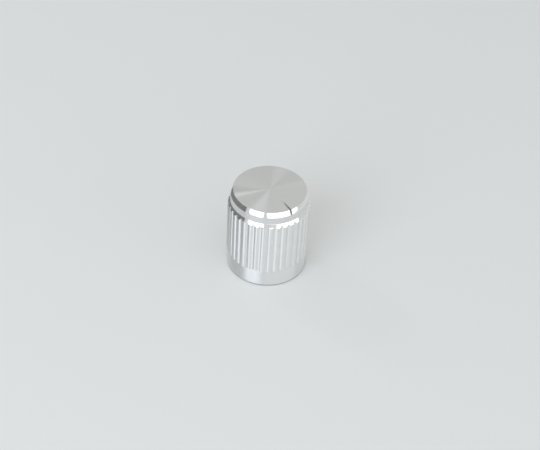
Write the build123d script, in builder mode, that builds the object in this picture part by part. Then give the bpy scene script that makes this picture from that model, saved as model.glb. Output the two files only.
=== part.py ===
from build123d import *
from math import radians, sqrt, tan
import os

# A turned aluminium control knob for a round 6 mm shaft: a plain band at the base, a ribbed
# grip, a bright shoulder, a satin neck, a bright crown edge and a flat face with a sawn index
# line. Millimetres; the origin is the centre of the base, +Z runs up the shaft axis and the
# index line points to -Y.

# Turned outline, from the base up
KNOB_HEIGHT = 17.0
GRIP_DIAMETER = 15.0       # over the rib crests
BAND_DIAMETER = 14.5
BAND_HEIGHT = 3.3
BASE_EDGE_BREAK = 0.2
SHOULDER_RISE = 0.7        # height of the bright chamfer from the rib crests to the neck
NECK_DIAMETER = 14.1
NECK_HEIGHT = 1.4
NECK_FILLET = 0.2          # hollow between the shoulder and the neck
CROWN_RISE = 0.9           # height of the steep bright edge round the face
FACE_DIAMETER = 13.3

# Ribs of the grip
RIB_COUNT = 36
RIB_DEPTH = 0.22
RIB_WIDTH = 1.0            # across one rib at its root
GROOVE_RUN_OUT = 0.2       # length of the small cone where the grooves rise to the band

# Index line, cut by a thin disc that dips towards the rim
INDEX_WIDTH = 0.4
INDEX_START_RADIUS = 3.7
INDEX_RIM_DEPTH = 0.9      # depth of the line where it leaves the neck
INDEX_CUTTER_RADIUS = 10.0

# Shaft bore and the recess that clears the nut on a panel
SHAFT_DIAMETER = 6.0
SHAFT_CLEARANCE = 0.1      # on the diameter
BORE_TOP = 14.0            # height of the end of the full bore above the base
DRILL_POINT_ANGLE = 118.0
BORE_LEAD_IN = 0.3
NUT_RECESS_DIAMETER = 12.0
NUT_RECESS_DEPTH = 2.0
RECESS_EDGE_BREAK = 0.2

# Set screw, opposite the index line
SCREW_THREAD = 3.0
SCREW_SLACK = 0.08         # on the diameter, between the screw and its tapped hole
SCREW_LENGTH = 3.0
SCREW_HEIGHT = 5.5
SCREW_BACK_OFF = 0.15      # how far the point stands back from the bore
SCREW_EDGE_BREAK = 0.2
HOLE_COUNTERSINK = 0.25
SOCKET_ACROSS_FLATS = 1.5
SOCKET_DEPTH = 1.3
CUP_DIAMETER = 1.4
CUP_ANGLE = 120.0

# Worked out from the sizes above
grip_radius = GRIP_DIAMETER / 2
root_radius = grip_radius - RIB_DEPTH
band_radius = BAND_DIAMETER / 2
neck_radius = NECK_DIAMETER / 2
face_radius = FACE_DIAMETER / 2
neck_top = KNOB_HEIGHT - CROWN_RISE
neck_foot = neck_top - NECK_HEIGHT
shoulder_height = neck_foot - SHOULDER_RISE
bore_radius = (SHAFT_DIAMETER + SHAFT_CLEARANCE) / 2
recess_radius = NUT_RECESS_DIAMETER / 2
drill_point = bore_radius / tan(radians(DRILL_POINT_ANGLE / 2))
hole_radius = SCREW_THREAD / 2
screw_radius = (SCREW_THREAD - SCREW_SLACK) / 2
screw_point = bore_radius + SCREW_BACK_OFF
screw_head = screw_point + SCREW_LENGTH
screw_axis = Axis((0, 0, SCREW_HEIGHT), (0, 1, 0))
cup_depth = CUP_DIAMETER / 2 / tan(radians(CUP_ANGLE / 2))
rib_round = (RIB_WIDTH**2 / 4 + RIB_DEPTH**2) / (2 * RIB_DEPTH)
rib_axis = grip_radius - rib_round
stock_radius = max(grip_radius, band_radius) + RIB_DEPTH
mouth_run = stock_radius - grip_radius + HOLE_COUNTERSINK

# One rib: a round bar sunk into the grip, with a ball end at the bottom. Its top runs on past
# the shoulder, where the turning cuts it off.
rib_ball = BAND_HEIGHT + RIB_WIDTH / 2
with BuildPart() as rib:
    with BuildSketch(Plane.XZ):
        with BuildLine():
            RadiusArc((0, rib_ball - rib_round), (rib_round, rib_ball), -rib_round)
            Polyline(
                (rib_round, rib_ball),
                (rib_round, neck_foot),
                (0, neck_foot),
                (0, rib_ball - rib_round),
            )
        make_face()
    revolve(axis=Axis.Z)

# Centre of the disc that cuts the index line: its rim passes through the start of the line on
# the face and through the foot of the line on the neck.
line_run = neck_radius - INDEX_START_RADIUS
chord = sqrt(line_run**2 + INDEX_RIM_DEPTH**2)
centre_lift = sqrt(INDEX_CUTTER_RADIUS**2 - chord**2 / 4)
cutter_reach = (INDEX_START_RADIUS + neck_radius) / 2 + centre_lift * INDEX_RIM_DEPTH / chord
cutter_height = KNOB_HEIGHT - INDEX_RIM_DEPTH / 2 + centre_lift * line_run / chord

with BuildPart() as knob_body:
    # Bar turned to the band and to the root of the ribs
    with BuildSketch(Plane.XZ):
        with BuildLine():
            Polyline(
                (0, 0),
                (band_radius - BASE_EDGE_BREAK, 0),
                (band_radius, BASE_EDGE_BREAK),
                (band_radius, BAND_HEIGHT),
                (root_radius, BAND_HEIGHT + GROOVE_RUN_OUT),
                (root_radius, KNOB_HEIGHT),
                (0, KNOB_HEIGHT),
                close=True,
            )
        make_face()
    revolve(axis=Axis.Z)

    # Ribs all round, one of them in line with the index
    with PolarLocations(rib_axis, RIB_COUNT, start_angle=-90):
        add(rib.part)

    # Shoulder, neck and crown edge, turned after the ribs, so that the shoulder is scalloped
    with BuildSketch(Plane.XZ) as top_cut:
        with BuildLine():
            Polyline(
                (grip_radius, shoulder_height),
                (neck_radius, neck_foot),
                (neck_radius, neck_top),
                (face_radius, KNOB_HEIGHT),
                (face_radius, KNOB_HEIGHT + RIB_DEPTH),
                (stock_radius, KNOB_HEIGHT + RIB_DEPTH),
                (stock_radius, shoulder_height),
                close=True,
            )
        make_face()
        neck_corner = top_cut.vertices().sort_by_distance((neck_radius, neck_foot))[0]
        fillet(neck_corner, NECK_FILLET)
    revolve(axis=Axis.Z, mode=Mode.SUBTRACT)

    # Nut recess and blind shaft bore with its drill point, in one turned cut from below
    with BuildSketch(Plane.XZ):
        with BuildLine():
            Polyline(
                (0, 0),
                (recess_radius + RECESS_EDGE_BREAK, 0),
                (recess_radius, RECESS_EDGE_BREAK),
                (recess_radius, NUT_RECESS_DEPTH),
                (bore_radius + BORE_LEAD_IN, NUT_RECESS_DEPTH),
                (bore_radius, NUT_RECESS_DEPTH + BORE_LEAD_IN),
                (bore_radius, BORE_TOP),
                (0, BORE_TOP + drill_point),
                close=True,
            )
        make_face()
    revolve(axis=Axis.Z, mode=Mode.SUBTRACT)

    # Tapped hole for the set screw, with a countersunk mouth
    with BuildSketch(Plane.YZ):
        with BuildLine():
            Polyline(
                (bore_radius / 2, SCREW_HEIGHT),
                (bore_radius / 2, SCREW_HEIGHT + hole_radius),
                (grip_radius - HOLE_COUNTERSINK, SCREW_HEIGHT + hole_radius),
                (stock_radius, SCREW_HEIGHT + hole_radius + mouth_run),
                (stock_radius, SCREW_HEIGHT),
                close=True,
            )
        make_face()
    revolve(axis=screw_axis, mode=Mode.SUBTRACT)

    # Index line
    with BuildSketch(Plane.YZ.offset(-INDEX_WIDTH / 2)):
        with Locations((-cutter_reach, cutter_height)):
            Circle(INDEX_CUTTER_RADIUS)
    extrude(amount=INDEX_WIDTH, mode=Mode.SUBTRACT)

knob_body.part.label = "knob_body"

# Set screw: a headless socket screw with a cup point that faces the bore
with BuildPart() as set_screw:
    with BuildSketch(Plane.YZ):
        with BuildLine():
            Polyline(
                (screw_point + cup_depth, SCREW_HEIGHT),
                (screw_point, SCREW_HEIGHT + CUP_DIAMETER / 2),
                (screw_point, SCREW_HEIGHT + screw_radius - SCREW_EDGE_BREAK),
                (screw_point + SCREW_EDGE_BREAK, SCREW_HEIGHT + screw_radius),
                (screw_head - SCREW_EDGE_BREAK, SCREW_HEIGHT + screw_radius),
                (screw_head, SCREW_HEIGHT + screw_radius - SCREW_EDGE_BREAK),
                (screw_head, SCREW_HEIGHT),
                close=True,
            )
        make_face()
    revolve(axis=screw_axis)
    with BuildSketch(Plane.XZ.offset(-screw_head)):
        with Locations((0, SCREW_HEIGHT)):
            RegularPolygon(SOCKET_ACROSS_FLATS / 2, 6, major_radius=False)
    extrude(amount=SOCKET_DEPTH, mode=Mode.SUBTRACT)

set_screw.part.label = "set_screw"

os.makedirs("parts", exist_ok=True)
export_step(knob_body.part, "parts/knob_body.step")
export_step(set_screw.part, "parts/set_screw.step")
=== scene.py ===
"""Looks of a turned aluminium control knob and its set screw.

The knob has a ribbed grip, two bright cut edges, a spun face and a sawn index line. Every piece
is modelled in millimetres and brought to metres when it is finished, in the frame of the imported
part: the origin is the centre of the base, +Z runs up the shaft axis, -Y towards the index line
and +Y towards the set screw.
"""

import logging
from contextlib import contextmanager
from dataclasses import dataclass
from enum import Enum
from math import atan2, cos, degrees, hypot, pi, radians, sin, sqrt, tan
from typing import Callable, Iterable, Iterator

import bpy
from mathutils import Matrix, Vector


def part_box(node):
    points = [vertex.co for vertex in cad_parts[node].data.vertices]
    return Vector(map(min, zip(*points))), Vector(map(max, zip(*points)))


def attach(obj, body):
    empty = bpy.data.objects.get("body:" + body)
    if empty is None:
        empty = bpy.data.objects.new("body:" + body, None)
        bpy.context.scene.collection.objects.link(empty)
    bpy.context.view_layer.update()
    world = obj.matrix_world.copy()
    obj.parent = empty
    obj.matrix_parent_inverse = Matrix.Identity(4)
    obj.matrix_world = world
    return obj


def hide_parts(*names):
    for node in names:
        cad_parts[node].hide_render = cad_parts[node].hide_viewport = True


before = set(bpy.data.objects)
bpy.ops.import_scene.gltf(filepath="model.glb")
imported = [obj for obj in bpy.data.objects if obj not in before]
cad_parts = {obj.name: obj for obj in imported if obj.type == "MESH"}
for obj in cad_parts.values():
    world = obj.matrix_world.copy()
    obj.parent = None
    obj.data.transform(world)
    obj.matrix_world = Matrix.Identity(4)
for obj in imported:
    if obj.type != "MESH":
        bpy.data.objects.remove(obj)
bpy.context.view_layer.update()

log = logging.getLogger("knob")
logging.basicConfig(level=logging.INFO, format="%(name)s: %(message)s")

MM = 0.001                    # one millimetre in metres
FULL_TURN = 2 * pi
SMOOTH_ANGLE = radians(15)    # an edge sharper than this stays crisp

# Millimetres within which points are one, in a blank or tool and in a finished mesh
TOUCHING = 1e-5
FUSED = 2e-5

# Steps in one turn of a thread, and in the arcs of a turned outline
THREAD_STEPS = 36
BALL_STEPS = 12
FILLET_STEPS = 6
CORNER_STEPS = 4

# Section of a thread: half its width at foot and crest, as shares of the pitch, and how far its
# foot is sunk into the core, as a share of its depth
THREAD_FOOT = 0.45
THREAD_CREST = 0.07
THREAD_SUNK = 0.25

Point = tuple[float, float]
Colour = tuple[float, float, float]
Place = Callable[[Vector, Vector], bool]
Socket = bpy.types.NodeSocket


class Zone(Enum):
    """The finishes that one knob wears, in the order of its material slots."""

    GRIP = 0      # band and ribs
    BRIGHT = 1    # shoulder and crown edge
    FACE = 2      # flat top
    NECK = 3      # between the shoulder and the crown edge
    BORED = 4     # underside, recess, bore and cross hole
    # Painted shade: the index line's colour is darker than the face to paint shade in the line, on
    # top of the shade its walls cast.
    SAWN = 5      # index line
    # Painted shade: the base rounding's dark colour paints the thin contact shadow round the base.
    EDGE = 6      # rounding at the base


# Work in the mesh editor


def deselect() -> None:
    """Leaves object mode on with nothing selected."""
    if bpy.context.object and bpy.context.object.mode != "OBJECT":
        bpy.ops.object.mode_set(mode="OBJECT")
    bpy.ops.object.select_all(action="DESELECT")


def take(piece: bpy.types.Object) -> None:
    """Makes one piece the only selected and active one.

    Args:
        piece: The object to work on.
    """
    deselect()
    piece.select_set(True)
    bpy.context.view_layer.objects.active = piece


@contextmanager
def editing(piece: bpy.types.Object) -> Iterator[None]:
    """Opens a piece in edit mode with all of it selected, and closes it after the work.

    Args:
        piece: The object to work on.

    Yields:
        Nothing.
    """
    take(piece)
    bpy.ops.object.mode_set(mode="EDIT")
    bpy.ops.mesh.select_all(action="SELECT")
    yield
    bpy.ops.object.mode_set(mode="OBJECT")


def start_line(name: str, place: Iterable[float]) -> bpy.types.Object:
    """Adds a mesh of one selected point, and leaves edit mode on.

    Args:
        name: Name of the new object and its mesh.
        place: Where the point goes, as (x, y, z).

    Returns:
        The new object.
    """
    deselect()
    bpy.ops.mesh.primitive_circle_add(vertices=3, radius=1.0)
    piece = bpy.context.object
    piece.name = name
    piece.data.name = name
    bpy.ops.object.mode_set(mode="EDIT")
    bpy.ops.mesh.select_mode(type="VERT")
    bpy.ops.mesh.select_all(action="SELECT")
    bpy.ops.mesh.merge(type="CENTER")
    bpy.ops.transform.translate(value=place)
    return piece


def extrude(step: tuple[float, float, float]) -> None:
    """Extrudes the selected point of the open mesh into an edge."""
    bpy.ops.mesh.extrude_vertices_move(TRANSFORM_OT_translate={"value": step})


def draw(name: str, outline: Iterable[Point], closed: bool = False) -> bpy.types.Object:
    """Draws an outline in the XZ plane, one extruded edge after another.

    Args:
        name: Name of the new object.
        outline: Points as (x, z), in millimetres.
        closed: Whether the last point joins the first one.

    Returns:
        An object that holds the outline as edges.
    """
    points = list(outline)
    piece = start_line(name, (points[0][0], 0, points[0][1]))
    for (x0, z0), (x1, z1) in zip(points, points[1:]):
        extrude((x1 - x0, 0, z1 - z0))
    if closed:
        ends = (Vector(points[0]), Vector(points[-1]))
        pick(piece, lambda co, _: any((co.xz - end).length < TOUCHING for end in ends), "VERT")
        bpy.ops.mesh.edge_face_add()
    bpy.ops.object.mode_set(mode="OBJECT")
    return piece


def pick(piece: bpy.types.Object, place: Place, kind: str) -> None:
    """Selects the points or faces that lie in a place, and leaves edit mode on.

    Args:
        piece: The mesh object, which becomes the active one.
        place: Says of a centre and a normal whether it belongs.
        kind: VERT or FACE.
    """
    take(piece)
    bpy.ops.object.mode_set(mode="EDIT")
    bpy.ops.mesh.select_mode(type=kind)
    bpy.ops.mesh.select_all(action="DESELECT")
    bpy.ops.object.mode_set(mode="OBJECT")
    if kind == "VERT":
        for vertex in piece.data.vertices:
            vertex.select = place(vertex.co, vertex.normal)
    else:
        for face in piece.data.polygons:
            face.select = place(face.center, face.normal)
    bpy.ops.object.mode_set(mode="EDIT")


def lathe(name: str, outline: Iterable[Point], steps: int) -> bpy.types.Object:
    """Spins an outline about the Z axis into a closed body.

    Args:
        name: Name of the new object.
        outline: Points as (radius, height), in millimetres. It starts and ends on the axis, or
            else it is closed and the body is a ring.
        steps: Number of steps round the axis.

    Returns:
        The turned body.
    """
    points = list(outline)
    piece = draw(name, points, closed=points[0][0] > TOUCHING)
    with editing(piece):
        bpy.ops.mesh.spin(steps=steps, angle=FULL_TURN, center=(0, 0, 0), axis=(0, 0, 1),
                          use_auto_merge=True)
        bpy.ops.mesh.select_all(action="SELECT")
        bpy.ops.mesh.remove_doubles(threshold=TOUCHING)
        bpy.ops.mesh.normals_make_consistent(inside=False)
    return piece


def turn(piece: bpy.types.Object, axis: str, angle: float) -> None:
    """Turns a piece about an axis through the origin, in its mesh.

    Args:
        piece: The object to turn.
        axis: X, Y or Z.
        angle: Angle in radians.
    """
    take(piece)
    piece.matrix_world = Matrix.Rotation(angle, 4, axis) @ piece.matrix_world
    bpy.ops.object.transform_apply(location=True, rotation=True, scale=True)


def move(piece: bpy.types.Object, offset: tuple[float, float, float]) -> None:
    """Moves a piece in its mesh.

    Args:
        piece: The object to move.
        offset: Distance along X, Y and Z, in millimetres.
    """
    with editing(piece):
        bpy.ops.transform.translate(value=offset)


def machine(work: bpy.types.Object, tool: bpy.types.Object, action: str) -> None:
    """Joins a tool to the work or cuts the work with it, and puts the tool away.

    Args:
        work: The piece that is kept.
        tool: The closed body that is added, subtracted or intersected.
        action: UNION, DIFFERENCE or INTERSECT.
    """
    take(work)
    cut = work.modifiers.new("cut", "BOOLEAN")
    cut.operation = action
    cut.solver = "MANIFOLD"
    cut.object = tool
    bpy.ops.object.modifier_apply(modifier=cut.name)
    bpy.data.objects.remove(tool)


def arc(centre: Point, radius: float, start: float, end: float, steps: int) -> list[Point]:
    """Lays points along an arc.

    Args:
        centre: Centre of the arc.
        radius: Radius in millimetres.
        start: Angle of the first point in degrees, 0 along the first axis.
        end: Angle of the last point in degrees.
        steps: Number of steps between them.

    Returns:
        The points, both ends among them.
    """
    turns = [radians(start + (end - start) * i / steps) for i in range(steps + 1)]
    return [(centre[0] + radius * cos(a), centre[1] + radius * sin(a)) for a in turns]


def blend_corner(corner: Point, above: float, below: float, radius: float,
                 hollow: bool = False) -> list[Point]:
    """Rounds an outward corner of a turned outline, or fillets an inward one.

    Args:
        corner: The sharp corner as (radius, height).
        above: Elevation of the surface normal above the corner, in degrees.
        below: Elevation of the surface normal below the corner, in degrees.
        radius: Radius of the rounding.
        hollow: Whether the corner is an inward one.

    Returns:
        Points from the upper surface to the lower one.
    """
    middle = radians(above + below) / 2
    reach = radius / cos(radians(above - below) / 2)
    if hollow:
        centre = (corner[0] + reach * cos(middle), corner[1] + reach * sin(middle))
        return arc(centre, radius, above + 180, below + 180, FILLET_STEPS)
    centre = (corner[0] - reach * cos(middle), corner[1] - reach * sin(middle))
    return arc(centre, radius, above, below, CORNER_STEPS)


def wind_thread(name: str, root: float, crest: float, pitch: float, start: float,
                turns: int) -> bpy.types.Object:
    """Winds one V-shaped ridge up the Z axis, closed at both ends.

    Args:
        name: Name of the new object.
        root: Radius that the ridge stands on, in millimetres.
        crest: Radius of its narrow flat.
        pitch: Rise in one turn.
        start: Height of its lower end.
        turns: Number of turns.

    Returns:
        The ridge.
    """
    foot, flat = pitch * THREAD_FOOT, pitch * THREAD_CREST
    sunk = root - (crest - root) * THREAD_SUNK
    ridge = draw(name, [(sunk, -foot), (crest, -flat), (crest, flat), (sunk, foot)], closed=True)
    move(ridge, (0, 0, start))
    take(ridge)
    winding = ridge.modifiers.new("winding", "SCREW")
    winding.angle = FULL_TURN * turns
    winding.screw_offset = pitch * turns
    winding.steps = winding.render_steps = THREAD_STEPS * turns
    winding.use_smooth_shade = False
    bpy.ops.object.modifier_apply(modifier=winding.name)
    with editing(ridge):
        bpy.ops.mesh.remove_doubles(threshold=TOUCHING)
        bpy.ops.mesh.fill_holes(sides=4)
        bpy.ops.mesh.select_all(action="SELECT")
        bpy.ops.mesh.normals_make_consistent(inside=False)
    return ridge


def finish_mesh(piece: bpy.types.Object) -> None:
    """Cleans a finished mesh, brings it from millimetres to metres and shades it.

    Args:
        piece: The finished piece.
    """
    with editing(piece):
        bpy.ops.mesh.remove_doubles(threshold=FUSED)
        bpy.ops.mesh.dissolve_degenerate(threshold=TOUCHING)
        bpy.ops.mesh.normals_make_consistent(inside=False)
    piece.scale = (MM, MM, MM)
    bpy.ops.object.transform_apply(location=True, rotation=True, scale=True)
    bpy.ops.object.shade_smooth_by_angle(angle=SMOOTH_ANGLE)


# Finishes

# A quarter turn, so that reflections stretch across the turning marks
GRAIN_TURN = 0.25

# Noise scales: of rings round the axis, for each millimetre, and of clouds and grit, for each metre
RING_SCALE, RING_DETAIL = 9.0, 3.0
CLOUD_SCALE = 420.0
GRIT_SCALE, GRIT_DETAIL = 9000.0, 3.0

# Share of the rings in the uneven roughness, the rest of which is clouds
RING_SHARE = 0.5

# How much of a tool mark's height is an even wave, and how much is uneven
MARK_WAVE = 0.5
MARK_NOISE = 2.0


class Nodes:
    """A short way to build one material's node tree."""

    def __init__(self, name: str) -> None:
        """Starts a material with a bare Principled shader.

        Args:
            name: The material's name.
        """
        self.material = bpy.data.materials.new(name)
        self.material.use_nodes = True
        self.tree = self.material.node_tree
        self.shader = self.tree.nodes["Principled BSDF"]

    def add(self, kind: str, **settings: object) -> bpy.types.Node:
        """Adds a node.

        Args:
            kind: The node's type, without the ShaderNode in front.
            **settings: Properties to set on it.

        Returns:
            The node.
        """
        node = self.tree.nodes.new("ShaderNode" + kind)
        for key, value in settings.items():
            setattr(node, key, value)
        return node

    def link(self, source: Socket, target: Socket) -> None:
        """Links an output to an input."""
        self.tree.links.new(source, target)

    def math(self, operation: str, *values: Socket | float) -> Socket:
        """Adds a Math node.

        Args:
            operation: Its operation.
            *values: Sockets or plain numbers for its inputs, in order.

        Returns:
            Its output.
        """
        node = self.add("Math", operation=operation)
        for slot, value in zip(node.inputs, values):
            if isinstance(value, Socket):
                self.link(value, slot)
            else:
                slot.default_value = value
        return node.outputs[0]

    def place(self) -> tuple[Socket, bpy.types.Node]:
        """Adds object coordinates.

        Returns:
            The coordinate vector, and a node that holds it as X, Y and Z.
        """
        vector = self.add("TexCoord").outputs["Object"]
        split = self.add("SeparateXYZ")
        self.link(vector, split.inputs[0])
        return vector, split

    def grain(self, split: bpy.types.Node) -> None:
        """Lays the grain of turning round the Z axis into the shader's tangent.

        Args:
            split: The node that holds the object coordinates as X, Y and Z.
        """
        join = self.add("CombineXYZ")
        self.link(self.math("MULTIPLY", split.outputs["Y"], -1.0), join.inputs["X"])
        self.link(split.outputs["X"], join.inputs["Y"])
        unit = self.add("VectorMath", operation="NORMALIZE")
        self.link(join.outputs[0], unit.inputs[0])
        self.link(unit.outputs[0], self.shader.inputs["Tangent"])
        self.shader.inputs["Anisotropic Rotation"].default_value = GRAIN_TURN

    def noise(self, vector: Socket, scale: float, detail: float = 2.0) -> Socket:
        """Adds a noise pattern.

        Args:
            vector: Where it is read.
            scale: Its scale.
            detail: Its detail.

        Returns:
            The noise value, 0 to 1.
        """
        node = self.add("TexNoise")
        self.link(vector, node.inputs["Vector"])
        node.inputs["Scale"].default_value = scale
        node.inputs["Detail"].default_value = detail
        return node.outputs[0]

    def span(self, value: Socket, low: float, high: float) -> Socket:
        """Spreads a 0 to 1 value over a range.

        Args:
            value: The value.
            low: What 0 becomes.
            high: What 1 becomes.

        Returns:
            The new value.
        """
        return self.math("MULTIPLY_ADD", value, high - low, low)

    def bump(self, height: Socket) -> None:
        """Turns a height into the shader's normal.

        Args:
            height: Height of the relief, in metres.
        """
        node = self.add("Bump")
        node.inputs["Strength"].default_value = 1.0
        node.inputs["Distance"].default_value = 1.0
        self.link(height, node.inputs["Height"])
        self.link(node.outputs[0], self.shader.inputs["Normal"])


@dataclass(frozen=True)
class TurnedMetal:
    """Metal with the marks of turning round the shaft axis.

    Attributes:
        name: The material's name.
        colour: Its colour.
        roughness: The middle of its roughness.
        uneven: How far the roughness strays to either side.
        anisotropy: How far the marks stretch a reflection, 0 to 1.
        line_pitch: Distance between tool marks, in millimetres.
        line_depth: Their depth in millimetres, 0 where none show.
        along_radius: Whether they follow one another outwards, as on a faced end.
        lean: Degrees that the normal leans outwards, as on a face turned a little crowned.
        blasted: Depth of a fine grit in millimetres, 0 where the metal was not blasted.
    """

    name: str
    colour: Colour
    roughness: float
    uneven: float
    anisotropy: float
    line_pitch: float = 0.0
    line_depth: float = 0.0
    along_radius: bool = False
    lean: float = 0.0
    blasted: float = 0.0

    def material(self) -> bpy.types.Material:
        """Builds the material.

        Returns:
            The material.
        """
        n = Nodes(self.name)
        vector, split = n.place()
        n.shader.inputs["Base Color"].default_value = (*self.colour, 1)
        n.shader.inputs["Metallic"].default_value = 1.0
        n.shader.inputs["Anisotropic"].default_value = self.anisotropy
        n.grain(split)
        squares = [n.math("MULTIPLY", split.outputs[axis], split.outputs[axis]) for axis in "XY"]
        radius = n.math("SQRT", n.math("ADD", *squares))
        along = radius if self.along_radius else split.outputs["Z"]
        rings = n.add("CombineXYZ")
        n.link(n.math("MULTIPLY", along, 1 / MM), rings.inputs["X"])
        ring_noise = n.noise(rings.outputs[0], RING_SCALE, RING_DETAIL)
        cloud = n.noise(vector, CLOUD_SCALE)
        mottle = n.math("MULTIPLY_ADD", cloud, 1 - RING_SHARE,
                        n.math("MULTIPLY", ring_noise, RING_SHARE))
        spread = n.span(mottle, self.roughness - self.uneven, self.roughness + self.uneven)
        n.link(spread, n.shader.inputs["Roughness"])
        relief = None
        for height in self.heights(n, vector, radius, along, ring_noise):
            relief = height if relief is None else n.math("ADD", relief, height)
        if relief is not None:
            n.bump(relief)
        return n.material

    def heights(self, n: Nodes, vector: Socket, radius: Socket, along: Socket,
                ring_noise: Socket) -> list[Socket]:
        """Adds the layers of the surface's fine relief.

        Args:
            n: The node tree.
            vector: Object coordinates.
            radius: Distance from the shaft axis.
            along: What the tool marks follow one another along, the radius or the height.
            ring_noise: Noise that is the same all round the axis.

        Returns:
            A height in metres for each layer that the finish has.
        """
        layers = []
        if self.line_depth:
            wave = n.math("SINE", n.math("MULTIPLY", along, FULL_TURN / (self.line_pitch * MM)))
            uneven = n.math("MULTIPLY", ring_noise, MARK_NOISE)
            mark = n.math("MULTIPLY_ADD", wave, MARK_WAVE, uneven)
            layers.append(n.math("MULTIPLY", mark, self.line_depth * MM))
        if self.lean:
            layers.append(n.math("MULTIPLY", radius, -tan(radians(self.lean))))
        if self.blasted:
            grit = n.noise(vector, GRIT_SCALE, GRIT_DETAIL)
            layers.append(n.math("MULTIPLY", grit, self.blasted * MM))
        return layers


FINISHES = {
    Zone.GRIP: TurnedMetal("satin_anodised", (0.878, 0.885, 0.882), roughness=0.36, uneven=0.03,
                           anisotropy=1.0, blasted=0.0002),
    Zone.BRIGHT: TurnedMetal("diamond_cut", (0.93, 0.93, 0.925), roughness=0.10, uneven=0.02,
                             anisotropy=0.4),
    Zone.FACE: TurnedMetal("spun_face", (0.84, 0.845, 0.835), roughness=0.29, uneven=0.03,
                           anisotropy=1.0, line_pitch=0.06, line_depth=0.0006, along_radius=True,
                           lean=5.0),
    Zone.NECK: TurnedMetal("turned_neck", (0.84, 0.84, 0.835), roughness=0.20, uneven=0.04,
                           anisotropy=1.0, line_pitch=0.22, line_depth=0.0015),
    Zone.BORED: TurnedMetal("bored_metal", (0.70, 0.70, 0.70), roughness=0.34, uneven=0.05,
                            anisotropy=0.6, line_pitch=0.12, line_depth=0.002),
    # Painted shade: darker than the face to paint shade in the index line, added to the shade its
    # walls cast.
    Zone.SAWN: TurnedMetal("sawn_line_painted_shade", (0.75, 0.75, 0.75), roughness=0.38, uneven=0.05,
                           anisotropy=0.3),
    # Painted shade: this dark colour on the base rounding paints the thin contact shadow round the
    # base.
    Zone.EDGE: TurnedMetal("base_edge_painted_contact_shadow", (0.33, 0.33, 0.335), roughness=0.40, uneven=0.05,
                           anisotropy=0.3),
}
SCREW_FINISH = TurnedMetal("black_oxide_steel", (0.30, 0.29, 0.285), roughness=0.34, uneven=0.05,
                           anisotropy=0.0)


# The knob

# Millimetres, for telling the knob's faces apart by their centres
HAIR = 1e-3          # a face this near a plane lies in it
SLACK = 0.02         # leeway beside a round surface, whose facets' centres stand a little off it
FACE_SKIN = 0.003    # a face of the flat top lies this far below it at most
INDEX_SKIN = 0.1     # the index line reaches this far below the neck's top at most
TOP_WALL = 1.0       # metal over the bore, at least

# Parts of a face's unit normal
SIDEWAYS = 0.9       # along X at least, on a wall of the index line
UPRIGHT = 0.01       # along X at most, on its floor
LEVEL = 0.999        # along Z at least, on the flat top
SLOPING = 0.08       # along Z at least, on the shoulder


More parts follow.
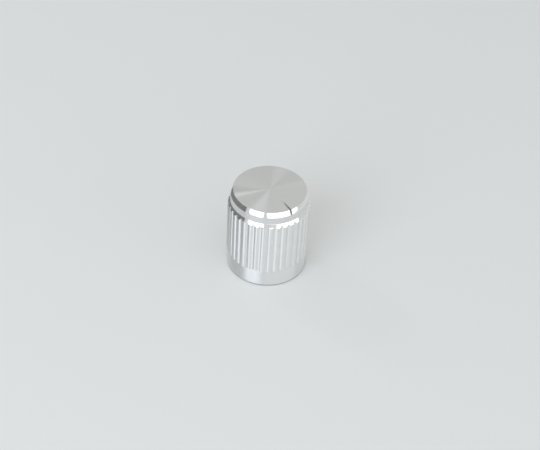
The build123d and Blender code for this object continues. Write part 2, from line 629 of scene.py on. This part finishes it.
@dataclass
class KnobBody:
    """The one turned piece: band, ribbed grip, shoulder, neck, crown edge and face, bored below.

    Sizes are in millimetres and angles in degrees. The overall height and diameter come from
    the frame. The other sizes are those of the part's source, apart from the rounded edges and
    the thread, which only the scene has.
    """

    height: float
    grip_radius: float

    # Turned outline, from the base up
    base_round: float = 0.2
    band_radius: float = 7.25
    band_height: float = 3.3
    shoulder_rise: float = 0.7
    shoulder_round: float = 0.9
    shoulder_run_out: float = 6.0
    neck_fillet: float = 0.2
    neck_radius: float = 7.05
    neck_height: float = 1.4
    crown_rise: float = 0.9
    face_radius: float = 6.65
    edge_round: float = 0.05

    # Ribs of the grip
    rib_count: int = 36
    rib_depth: float = 0.22
    rib_width: float = 1.0
    groove_run_out: float = 0.2

    # Index line
    index_width: float = 0.4
    index_start: float = 3.7
    index_rim_depth: float = 0.9
    index_cutter: float = 10.0

    # Recess and bore, from below
    recess_break: float = 0.2
    recess_radius: float = 6.0
    recess_depth: float = 2.0
    bore_lead_in: float = 0.3
    bore_radius: float = 3.05
    bore_top: float = 14.0
    drill_point_angle: float = 118.0

    # Tapped cross hole
    hole_height: float = 5.5
    hole_radius: float = 1.5
    hole_countersink: float = 0.25
    thread_pitch: float = 0.5
    thread_depth: float = 0.25

    # Steps round the knob, one rib, the drill and the saw disc
    steps: int = 360
    rib_steps: int = 48
    drill_steps: int = 72
    disc_steps: int = 720

    @property
    def root_radius(self) -> float:
        """Radius at the root of the ribs."""
        return self.grip_radius - self.rib_depth

    @property
    def neck_top(self) -> float:
        """Height where the neck meets the crown edge."""
        return self.height - self.crown_rise

    @property
    def neck_foot(self) -> float:
        """Height where the shoulder meets the neck."""
        return self.neck_top - self.neck_height

    @property
    def shoulder(self) -> float:
        """Height where the shoulder meets the rib crests."""
        return self.neck_foot - self.shoulder_rise

    @property
    def stock(self) -> float:
        """Radius outside all metal."""
        return self.grip_radius + self.rib_depth

    def turn_bar(self) -> bpy.types.Object:
        """Turns the bar to the band and to the root of the ribs, bored from below.

        Returns:
            The bored bar.
        """
        drill_point = self.bore_radius / tan(radians(self.drill_point_angle / 2))
        base_centre = (self.band_radius - self.base_round, self.base_round)
        outline = [
            (0, self.bore_top + drill_point),
            (self.bore_radius, self.bore_top),
            (self.bore_radius, self.recess_depth + self.bore_lead_in),
            (self.bore_radius + self.bore_lead_in, self.recess_depth),
            (self.recess_radius, self.recess_depth),
            (self.recess_radius, self.recess_break),
            (self.recess_radius + self.recess_break, 0),
            *arc(base_centre, self.base_round, -90, 0, FILLET_STEPS),
            (self.band_radius, self.band_height),
            (self.root_radius, self.band_height + self.groove_run_out),
            (self.root_radius, self.height),
            (0, self.height),
        ]
        return lathe("knob", outline, self.steps)

    def roll_ribs(self, bar: bpy.types.Object) -> None:
        """Raises the ribs all round, each a round bar sunk into the grip with a ball end below.

        Args:
            bar: The turned bar.
        """
        round_radius = (self.rib_width**2 / 4 + self.rib_depth**2) / (2 * self.rib_depth)
        ball = self.band_height + self.rib_width / 2
        outline = [
            *arc((0, ball), round_radius, -90, 0, BALL_STEPS),
            (round_radius, self.neck_foot),
            (0, self.neck_foot),
        ]
        rib = lathe("rib", outline, self.rib_steps)
        move(rib, (0, round_radius - self.grip_radius, 0))
        copies = self.rib_count - 1
        sweep = FULL_TURN * copies / self.rib_count
        with editing(rib):
            bpy.ops.mesh.spin(steps=copies, dupli=True, angle=sweep, center=(0, 0, 0),
                              axis=(0, 0, 1))
        machine(bar, rib, "UNION")

    def turn_top(self, bar: bpy.types.Object) -> None:
        """Turns the shoulder, the neck and the crown edge, which scallops the ribs' upper ends.

        Args:
            bar: The ribbed bar.
        """
        rise = self.height + self.rib_depth
        slope = degrees(atan2(self.grip_radius - self.neck_radius, self.shoulder_rise))
        crown = degrees(atan2(self.neck_radius - self.face_radius, self.crown_rise))
        outline = [
            (self.stock, rise),
            (self.face_radius - self.edge_round, rise),
            (self.face_radius - self.edge_round, self.height),
            *blend_corner((self.face_radius, self.height), 90, crown, self.edge_round),
            *blend_corner((self.neck_radius, self.neck_top), crown, 0, self.edge_round),
            *blend_corner((self.neck_radius, self.neck_foot), 0, slope, self.neck_fillet,
                          hollow=True),
            *blend_corner((self.grip_radius, self.shoulder), slope, self.shoulder_run_out,
                          self.shoulder_round),
        ]
        last_radius, last_height = outline[-1]
        run = self.stock - last_radius
        outline.append((self.stock, last_height - run / tan(radians(self.shoulder_run_out))))
        machine(bar, lathe("top_cut", outline, self.steps), "DIFFERENCE")

    def tap_hole(self, bar: bpy.types.Object) -> None:
        """Drills, countersinks and taps the cross hole at the back.

        Args:
            bar: The turned knob.
        """
        core = self.hole_radius - self.thread_depth
        mouth = self.stock - self.grip_radius + self.hole_countersink
        start = self.bore_radius / 2
        outline = [
            (0, start),
            (core, start),
            (core, self.grip_radius - self.hole_countersink - self.thread_depth),
            (self.hole_radius + mouth, self.stock),
            (0, self.stock),
        ]
        drill = lathe("drill", outline, self.drill_steps)
        turns = round((self.stock - start) / self.thread_pitch)
        tap = wind_thread("tap", core, self.hole_radius, self.thread_pitch, start, turns)
        for tool in (drill, tap):
            turn(tool, "X", -pi / 2)
            move(tool, (0, 0, self.hole_height))
            machine(bar, tool, "DIFFERENCE")

    def saw_index(self, bar: bpy.types.Object) -> None:
        """Saws the index line with a thin disc that dips towards the rim.

        Args:
            bar: The turned knob.
        """
        run = self.neck_radius - self.index_start
        chord = hypot(run, self.index_rim_depth)
        lift = sqrt(self.index_cutter**2 - chord**2 / 4)
        reach = (self.index_start + self.neck_radius) / 2 + lift * self.index_rim_depth / chord
        height = self.height - self.index_rim_depth / 2 + lift * run / chord
        half = self.index_width / 2
        outline = [(0, -half), (self.index_cutter, -half), (self.index_cutter, half), (0, half)]
        disc = lathe("disc", outline, self.disc_steps)
        turn(disc, "Y", pi / 2)
        move(disc, (0, -reach, height))
        machine(bar, disc, "DIFFERENCE")

    def is_sawn(self, centre: Vector, normal: Vector) -> bool:
        """Says whether a face is a wall or the floor of the index line.

        Args:
            centre: The face's centre, in millimetres.
            normal: Its normal.

        Returns:
            Whether it is.
        """
        if abs(centre.x) > self.index_width / 2 + HAIR or centre.y >= -self.index_start \
                or centre.z <= self.neck_top - INDEX_SKIN:
            return False
        below_top = normal.z < LEVEL and centre.z < self.height - HAIR
        return abs(normal.x) > SIDEWAYS or (abs(normal.x) < UPRIGHT and below_top)

    def is_bored(self, centre: Vector) -> bool:
        """Says whether a face lies on the underside or in the recess, the bore or the hole.

        Args:
            centre: The face's centre, in millimetres.

        Returns:
            Whether it does.
        """
        radius = hypot(centre.x, centre.y)
        from_hole = hypot(centre.x, centre.z - self.hole_height)
        in_recess = radius < self.recess_radius + self.recess_break + SLACK
        in_hole = centre.y > 0 and from_hole < self.hole_radius + SLACK
        in_bore = radius < self.bore_radius + SLACK and centre.z < self.height - TOP_WALL
        return centre.z < HAIR or in_bore or (centre.z < self.neck_foot and (in_recess or in_hole))

    def zone(self, centre: Vector, normal: Vector) -> Zone:
        """Says which finish a face wears, from its place and its normal.

        Args:
            centre: The face's centre, in millimetres.
            normal: Its normal.

        Returns:
            The zone it belongs to.
        """
        radius = hypot(centre.x, centre.y)
        on_crown = centre.z > self.neck_top + SLACK
        on_shoulder = centre.z > self.shoulder - self.shoulder_round / 3 \
            and normal.z > SLOPING and radius > self.neck_radius + SLACK
        if self.is_sawn(centre, normal):
            return Zone.SAWN
        if self.is_bored(centre):
            return Zone.BORED
        if centre.z > self.height - FACE_SKIN:
            return Zone.FACE
        if on_crown or on_shoulder:
            return Zone.BRIGHT
        # Faces of the base rounding take the dark colour that paints the contact shadow.
        if centre.z < self.base_round - HAIR:
            return Zone.EDGE
        if centre.z > self.shoulder and radius < self.root_radius - SLACK:
            return Zone.NECK
        return Zone.GRIP

    def dress(self, knob: bpy.types.Object) -> None:
        """Gives each face its finish.

        Args:
            knob: The finished mesh, still in millimetres.
        """
        knob.data.materials.clear()
        for zone in Zone:
            knob.data.materials.append(FINISHES[zone].material())
        for zone in Zone:
            pick(knob, lambda centre, normal: self.zone(centre, normal) is zone, "FACE")
            knob.active_material_index = zone.value
            bpy.ops.object.material_slot_assign()
        bpy.ops.object.mode_set(mode="OBJECT")

    def build(self) -> bpy.types.Object:
        """Makes the knob, in the order it would be machined.

        Returns:
            The finished piece.
        """
        knob = self.turn_bar()
        self.roll_ribs(knob)
        self.turn_top(knob)
        self.tap_hole(knob)
        self.saw_index(knob)
        self.dress(knob)
        finish_mesh(knob)
        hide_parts("knob_body")
        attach(knob, "root")
        return knob


@dataclass
class SetScrew:
    """The headless socket screw that clamps the knob on its shaft, threaded from end to end.

    Sizes are in millimetres and angles in degrees, and a slope is the rise of a cone for each
    millimetre outwards. The screw is made along the Z axis and laid in its hole. Its two ends
    and its radius come from the frame.
    """

    point: float
    head: float
    radius: float
    height: float
    edge_break: float = 0.2
    thread_pitch: float = 0.5
    thread_depth: float = 0.25
    cup_radius: float = 0.7
    cup_angle: float = 120.0
    socket_across_flats: float = 1.5
    socket_depth: float = 1.3
    socket_break: float = 0.05
    bottom_slope: float = 0.5
    mouth_slope: float = 2.0
    steps: int = 72
    socket_steps: int = 48

    def roll_thread(self) -> bpy.types.Object:
        """Winds the thread on a plain core, both of them longer than the screw at both ends.

        Returns:
            The threaded rod along the Z axis.
        """
        core = self.radius - self.thread_depth
        spare = 2 * self.thread_pitch
        start = self.point - spare
        end = self.head + spare
        outline = [(0, start), (core, start), (core, end), (0, end)]
        rod = lathe("set_screw_threaded", outline, self.steps)
        first = start + self.thread_pitch
        turns = round((end - self.thread_pitch - first) / self.thread_pitch)
        ridge = wind_thread("ridge", core, self.radius, self.thread_pitch, first, turns)
        machine(rod, ridge, "UNION")
        return rod

    def face_ends(self, rod: bpy.types.Object) -> None:
        """Cuts the rod to length, with broken edges and a cup point.

        Args:
            rod: The threaded rod.
        """
        cup = self.cup_radius / tan(radians(self.cup_angle / 2))
        outline = [
            (0, self.point + cup),
            (self.cup_radius, self.point),
            (self.radius - self.edge_break, self.point),
            (self.radius, self.point + self.edge_break),
            (self.radius, self.head - self.edge_break),
            (self.radius - self.edge_break, self.head),
            (0, self.head),
        ]
        machine(rod, lathe("envelope", outline, self.steps), "INTERSECT")

    def broach_socket(self, rod: bpy.types.Object) -> None:
        """Cuts the hexagon socket, with its drilled bottom and its broken mouth.

        Args:
            rod: The screw blank.
        """
        flats = self.socket_across_flats / 2
        corner = flats / cos(pi / 6)
        middle = self.head - self.socket_depth / 2 + self.edge_break / 2
        deselect()
        bpy.ops.mesh.primitive_cylinder_add(vertices=6, radius=corner, location=(0, 0, middle),
                                            depth=self.socket_depth + self.edge_break)
        machine(rod, bpy.context.object, "DIFFERENCE")
        bottom = self.head - self.socket_depth
        mouth = corner + self.socket_break
        top = self.head + self.mouth_slope * self.edge_break
        outline = [
            (0, bottom - self.bottom_slope * flats),
            (flats, bottom),
            (flats, self.head - self.mouth_slope * (mouth - flats)),
            (mouth + self.edge_break, top),
            (0, top),
        ]
        machine(rod, lathe("drill", outline, self.socket_steps), "DIFFERENCE")

    def build(self) -> bpy.types.Object:
        """Makes the screw and lays it in its hole, opposite the index line.

        Returns:
            The finished piece.
        """
        screw = self.roll_thread()
        self.face_ends(screw)
        self.broach_socket(screw)
        turn(screw, "X", -pi / 2)
        move(screw, (0, 0, self.height))
        screw.data.materials.clear()
        screw.data.materials.append(SCREW_FINISH.material())
        finish_mesh(screw)
        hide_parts("set_screw")
        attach(screw, "root")
        return screw


# The studio


@dataclass(frozen=True)
class Lamp:
    """A soft rectangular lamp that faces the knob.

    Attributes:
        name: Name of the lamp.
        azimuth: Degrees to the right of the camera.
        elevation: Degrees above the horizon.
        distance: Metres from the knob.
        size: Width and height in metres.
        power: Power in watts.
        colour: Its colour.
    """

    name: str
    azimuth: float
    elevation: float
    distance: float
    size: Point
    power: float
    colour: Colour


@dataclass(frozen=True)
class Card:
    """A curved card that stands beside the knob, for the metal to reflect.

    Attributes:
        name: Name of the card.
        azimuths: Its two ends, in degrees to the right of the camera.
        heights: Its lower and upper edge, in metres.
        distance: Metres from the shaft axis.
        shade: How light it is, 0 to 1.
        roughness: Its roughness.
        steps: Number of flat strips it is bent into.
    """

    name: str
    azimuths: Point
    heights: Point
    distance: float
    shade: float
    roughness: float = 0.9
    steps: int = 24


LAMPS = (
    Lamp("window", azimuth=-32.5, elevation=27, distance=0.55, size=(0.39, 0.48), power=1.35,
         colour=(0.83, 0.89, 1.0)),
    Lamp("softbox", azimuth=40, elevation=10, distance=0.55, size=(1.01, 0.225), power=0.785,
         colour=(1.0, 0.99, 0.97)),
    Lamp("back_lamp", azimuth=-128, elevation=32, distance=0.5, size=(0.05, 0.12), power=0.09,
         colour=(1.0, 1.0, 1.0)),
)
CARDS = (
    Card("left_card", azimuths=(-58, -140), heights=(0.0, 0.026), distance=0.040, shade=0.27),
    Card("left_flag", azimuths=(-58, -140), heights=(0.026, 0.041), distance=0.040, shade=0.01),
)


@dataclass(frozen=True)
class Studio:
    """The room, the pale floor, the lamps, the cards and the camera.

    Attributes:
        azimuth: Degrees that the camera stands round the knob, 0 in front of the index line.
        elevation: Degrees that it stands above the horizon.
        distance: Metres from the camera to the point it aims at.
        aim: That point, in metres.
        roll: Degrees that the camera is turned about its line of sight.
        focal_pixels: Its focal length, in pixels of the photograph.
        image_width: Width of the photograph in pixels.
        shift: How far the view is shifted to the right and up, in pixels.
        sensor: Width of the camera's sensor in millimetres.
        clip: Nearest and farthest distance that the camera sees, in metres.
        floor_size: Side of the floor in metres.
        floor_colour: Its colour.
        floor_roughness: Its lowest and highest roughness.
        floor_gloss: Level of its reflection.
        floor_grain: Scale of its noise.
        room_colour: Colour of the soft light from all round.
        room_strength: Its strength.
    """

    azimuth: float = -35.0
    elevation: float = 41.04
    distance: float = 0.2413
    aim: tuple[float, float, float] = (0.0, 0.0, 0.008)
    roll: float = 3.36
    focal_pixels: float = 1315.5
    image_width: int = 540
    shift: Point = (2.16, 1.74)
    sensor: float = 36.0
    clip: Point = (0.01, 20.0)
    floor_size: float = 6.0
    floor_colour: Colour = (0.838, 0.853, 0.843)
    floor_roughness: Point = (0.55, 0.7)
    floor_gloss: float = 0.1
    floor_grain: float = 300.0
    room_colour: Colour = (0.81, 0.82, 0.815)
    room_strength: float = 0.78

    def direction(self, azimuth: float, elevation: float) -> Vector:
        """Points from the knob by angles as the camera sees them.

        Args:
            azimuth: Degrees to the right of the camera.
            elevation: Degrees above the horizon.

        Returns:
            A unit vector.
        """
        a = radians(self.azimuth + azimuth)
        e = radians(elevation)
        return Vector((sin(a) * cos(e), -cos(a) * cos(e), sin(e)))

    def light_room(self) -> None:
        """Fills the room with plain soft light."""
        world = bpy.data.worlds.new("room")
        bpy.context.scene.world = world
        world.use_nodes = True
        background = world.node_tree.nodes["Background"]
        background.inputs["Color"].default_value = (*self.room_colour, 1)
        background.inputs["Strength"].default_value = self.room_strength

    def lay_floor(self) -> None:
        """Lays the pale floor."""
        deselect()
        bpy.ops.mesh.primitive_plane_add(size=self.floor_size)
        floor = bpy.context.object
        floor.name = "floor"
        n = Nodes("pale_floor")
        vector, _ = n.place()
        n.shader.inputs["Base Color"].default_value = (*self.floor_colour, 1)
        n.shader.inputs["Specular IOR Level"].default_value = self.floor_gloss
        n.link(n.span(n.noise(vector, self.floor_grain), *self.floor_roughness),
               n.shader.inputs["Roughness"])
        floor.data.materials.append(n.material)

    def place_camera(self) -> None:
        """Places the camera at the photograph's angle."""
        deselect()
        data = bpy.data.cameras.new("camera")
        camera = bpy.data.objects.new("camera", data)
        bpy.context.scene.collection.objects.link(camera)
        back = self.direction(0, self.elevation)
        data.sensor_width = self.sensor
        data.lens = self.focal_pixels * self.sensor / self.image_width
        data.shift_x = self.shift[0] / self.image_width
        data.shift_y = self.shift[1] / self.image_width
        data.clip_start, data.clip_end = self.clip
        camera.location = Vector(self.aim) + back * self.distance
        look = (-back).to_track_quat("-Z", "Y").to_matrix().to_4x4()
        camera.rotation_euler = (look @ Matrix.Rotation(radians(self.roll), 4, "Z")).to_euler()
        bpy.context.scene.camera = camera

    def hang(self, lamp: Lamp) -> None:
        """Hangs a lamp, out of the camera's sight.

        Args:
            lamp: The lamp.
        """
        data = bpy.data.lights.new(lamp.name, "AREA")
        data.shape = "RECTANGLE"
        data.size, data.size_y = lamp.size
        data.energy = lamp.power
        data.color = lamp.colour
        light = bpy.data.objects.new(lamp.name, data)
        bpy.context.scene.collection.objects.link(light)
        back = self.direction(lamp.azimuth, lamp.elevation)
        light.location = Vector(self.aim) + back * lamp.distance
        light.rotation_euler = back.to_track_quat("Z", "Y").to_euler()
        light.visible_camera = False

    def stand(self, plan: Card) -> None:
        """Stands a card beside the knob, seen only in reflections and casting no shadow.

        Args:
            plan: The card's name, place, size and shade.
        """
        low, high = plan.heights
        foot = self.direction(plan.azimuths[0], 0) * plan.distance + Vector((0, 0, low))
        card = start_line(plan.name, foot)
        extrude((0, 0, high - low))
        bpy.ops.mesh.select_all(action="SELECT")
        sweep = radians(plan.azimuths[0] - plan.azimuths[1])
        bpy.ops.mesh.spin(steps=plan.steps, angle=sweep, center=(0, 0, 0), axis=(0, 0, 1))
        bpy.ops.object.mode_set(mode="OBJECT")
        n = Nodes(plan.name)
        n.shader.inputs["Base Color"].default_value = (plan.shade, plan.shade, plan.shade, 1)
        n.shader.inputs["Roughness"].default_value = plan.roughness
        n.shader.inputs["Specular IOR Level"].default_value = 0.0
        card.data.materials.append(n.material)
        card.visible_camera = False
        card.visible_diffuse = False
        card.visible_shadow = False

    def build(self) -> None:
        """Sets the studio up."""
        bpy.context.scene.view_settings.view_transform = "Standard"
        self.light_room()
        self.lay_floor()
        self.place_camera()
        for lamp in LAMPS:
            self.hang(lamp)
        for plan in CARDS:
            self.stand(plan)


def main() -> None:
    """Builds the studio and every piece of the knob, and reports each one."""
    _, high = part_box("knob_body")
    screw_low, screw_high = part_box("set_screw")
    body = KnobBody(height=high[2] / MM, grip_radius=high[0] / MM)
    screw = SetScrew(point=screw_low[1] / MM, head=screw_high[1] / MM, radius=screw_high[0] / MM,
                     height=body.hole_height)
    Studio().build()
    for piece in (body.build(), screw.build()):
        log.info("%s: %d faces", piece.name, len(piece.data.polygons))


if __name__ == "__main__":
    main()
